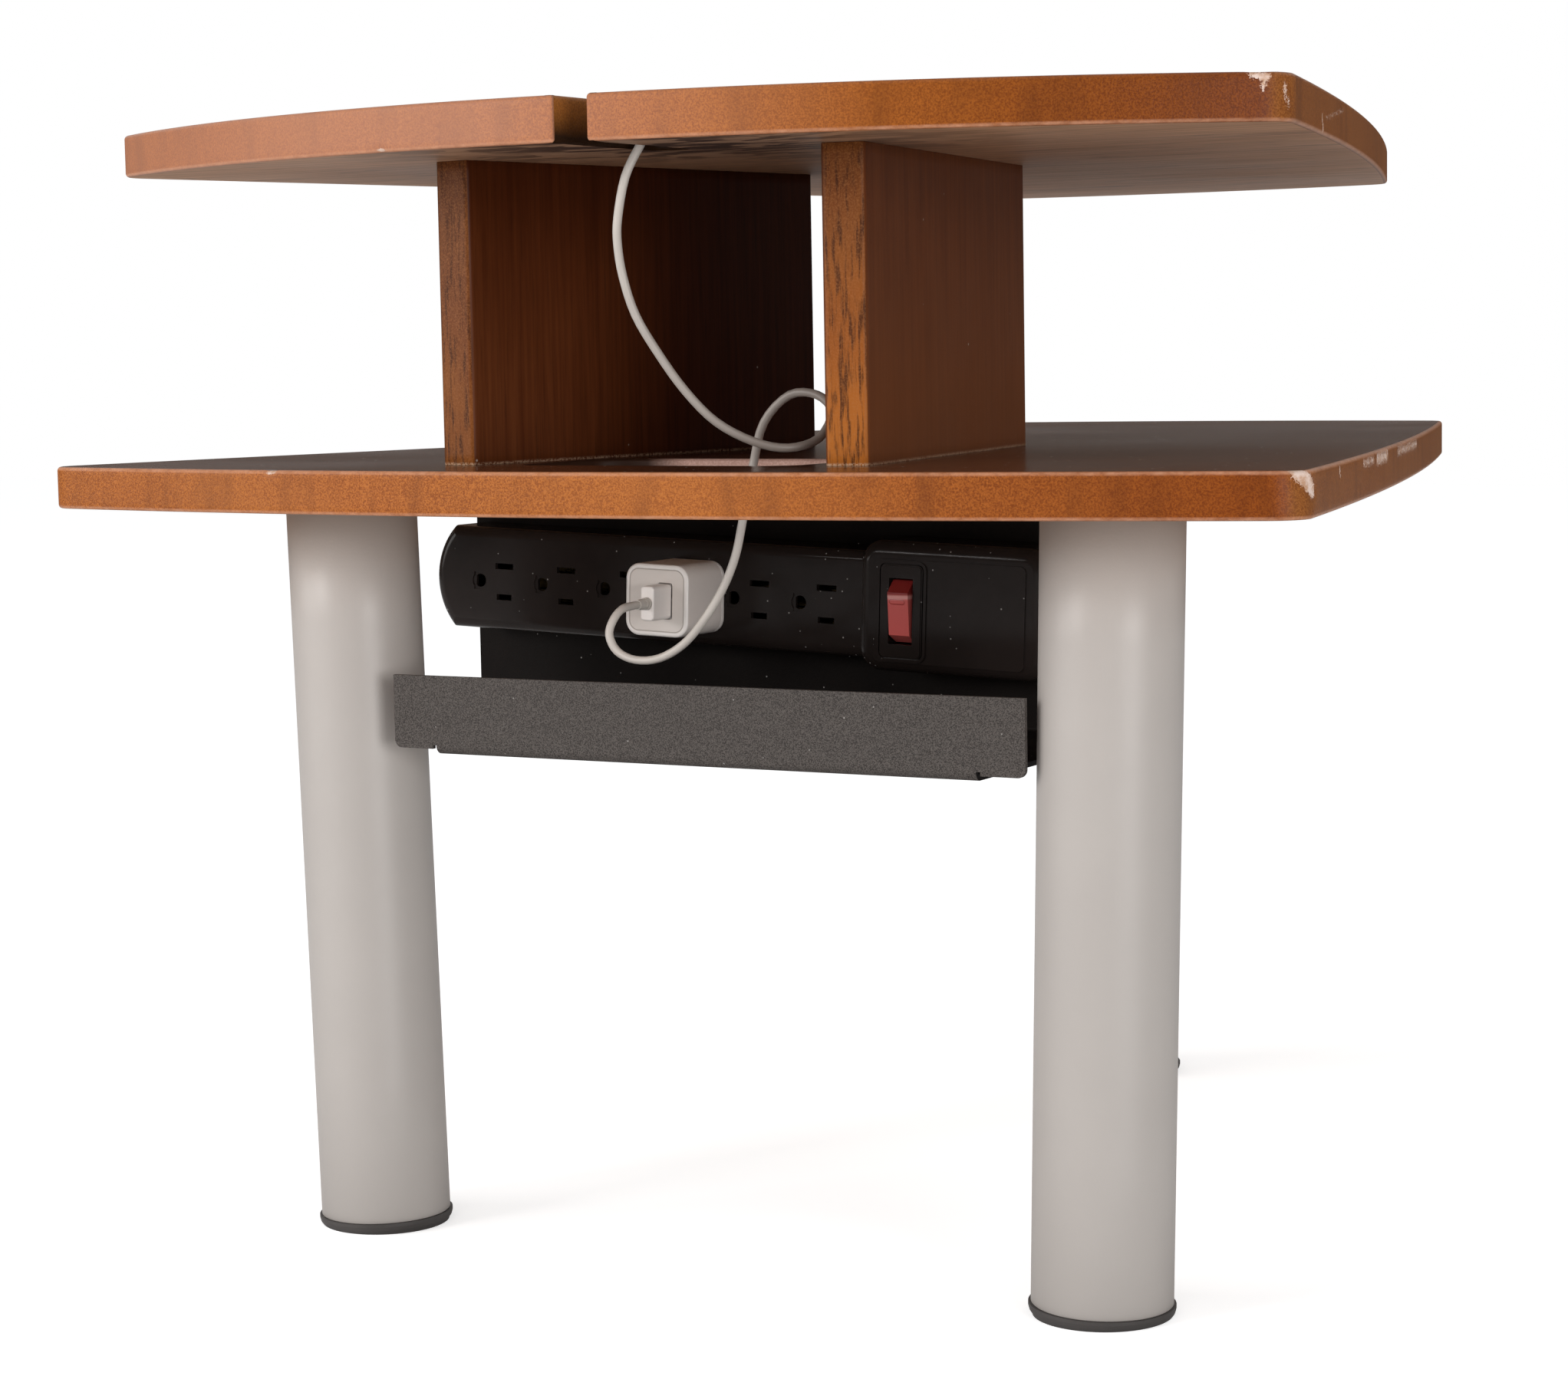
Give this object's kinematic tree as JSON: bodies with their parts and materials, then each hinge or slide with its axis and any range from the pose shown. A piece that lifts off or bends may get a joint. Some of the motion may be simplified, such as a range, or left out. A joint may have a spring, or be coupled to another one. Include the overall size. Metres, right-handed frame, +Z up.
{
  "type": "media table",
  "caption": "Low two-tier media table with shaped wooden tops, standing boards, round steel legs, a cable tray with power strip and a charging cord.",
  "frame": {"origin": "on the floor, midway between the front of the upper top and the back of the lower top, on the table's centre line", "axes": "+Z up, +Y from the front edge to the back, +X to the right seen from the front"},
  "size_m": [0.5112, 0.6179, 0.4383],
  "materials": {
    "stained_wood": "lacquered",
    "dark_wood": "lacquered",
    "raw_wood": "matte",
    "grey_powder_coat": "satin",
    "black_powder_coat": "fine texture",
    "dark_plastic": "matte",
    "black_plastic": "satin",
    "red_plastic": "gloss",
    "white_plastic": "gloss",
    "white_cord": "satin",
    "bright_metal": "polished",
    "zinc_steel": "zinc plated",
    "contact_brass": "plain",
    "circuit_green": "matte"
  },
  "bodies": {
    "table": {"upper_top": "stained_wood", "lower_top": "stained_wood", "left_board": "dark_wood", "right_board": "dark_wood", "board_dowels": "raw_wood", "board_screws": "zinc_steel", "front_left_leg": "grey_powder_coat", "front_right_leg": "grey_powder_coat", "rear_leg": "grey_powder_coat", "leg_end_plugs": "zinc_steel", "leg_bolts": "zinc_steel", "front_left_foot": "dark_plastic", "front_right_foot": "dark_plastic", "rear_foot": "dark_plastic", "cable_tray": "black_powder_coat", "tray_screws": "zinc_steel", "strip_front_shell": "black_plastic", "strip_back_cover": "black_plastic", "hot_bus_bar": "contact_brass", "neutral_bus_bar": "contact_brass", "ground_bus_bar": "contact_brass", "strip_case_screws": "zinc_steel", "strip_mount_screws": "zinc_steel", "switch_bezel": "black_plastic", "switch_contacts": "contact_brass", "rocker_pin": "zinc_steel", "adapter_shell": "white_plastic", "adapter_back": "white_plastic", "adapter_blades": "bright_metal", "adapter_circuit": "circuit_green", "adapter_usb_socket": "bright_metal", "usb_plug_shell": "bright_metal", "usb_plug_grip": "white_plastic", "plug_relief": "white_cord", "charging_cord": "white_cord", "cord_coil": "white_cord", "cord_tail": "white_cord", "cord_tie": "dark_plastic", "connector_grip": "white_plastic", "connector_tip": "bright_metal"},
    "rocker": {"rocker": "red_plastic"}
  },
  "joints": [
    {"name": "rocker_swing", "type": "hinge", "parent": "table", "child": "rocker", "pos_m": [0.03883, -0.1145, 0.24112], "axis": [-0.9992, 0, 0.0401], "range_deg": [0, 15]}
  ]
}
